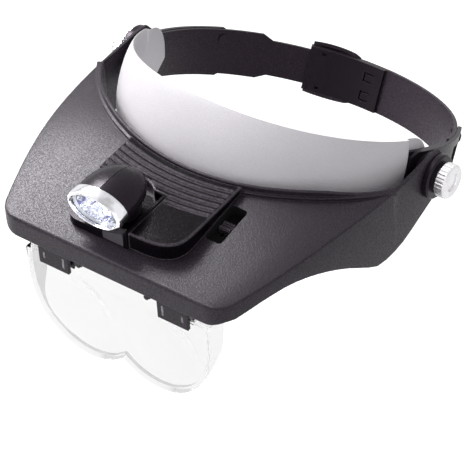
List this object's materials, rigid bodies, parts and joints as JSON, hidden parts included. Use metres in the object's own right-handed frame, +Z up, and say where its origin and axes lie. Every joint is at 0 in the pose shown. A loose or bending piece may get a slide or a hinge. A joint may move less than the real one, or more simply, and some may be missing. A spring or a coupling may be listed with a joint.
{
  "type": "headband magnifier",
  "caption": "Head-worn magnifier: padded adjustable headband, tilting visor clamped by side knobs, exchangeable clear twin lens plate and a swivelling battery lamp.",
  "frame": {"origin": "centre of the head ring, at mid height of the band", "axes": "+Z up along the wearer's head, -Y towards the wearer's front, +X to the wearer's left"},
  "size_m": [0.212, 0.2481, 0.1477],
  "materials": {
    "visor_grey": "fine moulded grain",
    "black_plastic": "satin",
    "strap_plastic": "satin",
    "block_grey": "satin",
    "leatherette": "soft padded leatherette",
    "silver": "satin metal",
    "chrome": "bright plated",
    "brass": "turned",
    "clear": "clear moulded acrylic",
    "led_clear": "clear epoxy",
    "board": "laminate",
    "cell_sleeve": "printed-free sleeve"
  },
  "bodies": {
    "head_ring": {"front_band": "black_plastic", "sweatband": "leatherette", "side_bracket_right": "black_plastic", "side_bracket_left": "black_plastic", "pivot_insert_right": "brass", "pivot_insert_left": "brass", "strap_rivet_right": "black_plastic", "strap_rivet_left": "black_plastic", "strap_left": "strap_plastic"},
    "size_adjuster": {"strap_right": "strap_plastic", "adjuster_sleeve": "strap_plastic", "adjuster_hump": "strap_plastic"},
    "knob_right": {"clamp_knob_right": "silver"},
    "knob_left": {"clamp_knob_left": "silver"},
    "visor": {"visor_shell": "visor_grey", "friction_washer_right": "black_plastic", "friction_washer_left": "black_plastic", "lens_clip_right": "black_plastic", "lens_clip_left": "black_plastic", "lens_hook_right": "black_plastic", "lens_hook_left": "black_plastic", "lamp_base": "black_plastic", "lamp_block": "block_grey", "base_screw_rear": "silver", "base_screw_front": "silver", "battery_tray": "black_plastic", "cell_left": "cell_sleeve", "cell_right": "cell_sleeve", "contact_spring_left": "silver", "contact_spring_right": "silver", "contact_bridge": "silver", "contact_tab_left": "silver", "contact_tab_right": "silver", "driver_board": "board", "switch_case": "silver"},
    "magnifier": {"lens_plate": "clear"},
    "cover": {"battery_cover": "black_plastic"},
    "switch": {"switch_thumb": "black_plastic"},
    "turntable": {"lamp_turntable": "black_plastic", "lamp_tilt_pin": "silver"},
    "lamp": {"lamp_shell_right": "black_plastic", "lamp_shell_left": "black_plastic", "lamp_bezel": "chrome", "lamp_front_lens": "clear", "lamp_reflector": "chrome", "lamp_led": "led_clear", "lamp_board": "board"}
  },
  "joints": [
    {"name": "visor_tilt", "type": "hinge", "parent": "head_ring", "child": "visor", "pos_m": [0, -0.0086, 0.0022], "axis": [1, 0, 0], "range_deg": [-50, 12]},
    {"name": "knob_right_turn", "type": "hinge", "parent": "head_ring", "child": "knob_right", "pos_m": [0, -0.0086, 0.0022], "axis": [1, 0, 0], "range_deg": [0, 180]},
    {"name": "knob_left_turn", "type": "hinge", "parent": "head_ring", "child": "knob_left", "pos_m": [0, -0.0086, 0.0022], "axis": [-1, 0, 0], "range_deg": [0, 180]},
    {"name": "size_adjust", "type": "hinge", "parent": "head_ring", "child": "size_adjuster", "pos_m": [0, 0, 0], "axis": [0, 0, 1], "range_deg": [-5, 6]},
    {"name": "lens_release", "type": "slide", "parent": "visor", "child": "magnifier", "axis": [0, 0.4772, -0.8788], "range_m": [0, 0.012]},
    {"name": "cover_lift", "type": "slide", "parent": "visor", "child": "cover", "axis": [0, -0.4772, 0.8788], "range_m": [0, 0.012]},
    {"name": "switch_slide", "type": "slide", "parent": "visor", "child": "switch", "axis": [0, -0.8788, -0.4772], "range_m": [0, 0.004]},
    {"name": "lamp_swivel", "type": "hinge", "parent": "visor", "child": "turntable", "pos_m": [-0.0142, -0.12551, -0.0392], "axis": [0, -0.4772, 0.8788], "range_deg": [-24, 0]},
    {"name": "lamp_tilt", "type": "hinge", "parent": "turntable", "child": "lamp", "pos_m": [-0.0142, -0.12876, -0.03323], "axis": [1, 0, 0], "range_deg": [-15, 2]}
  ]
}
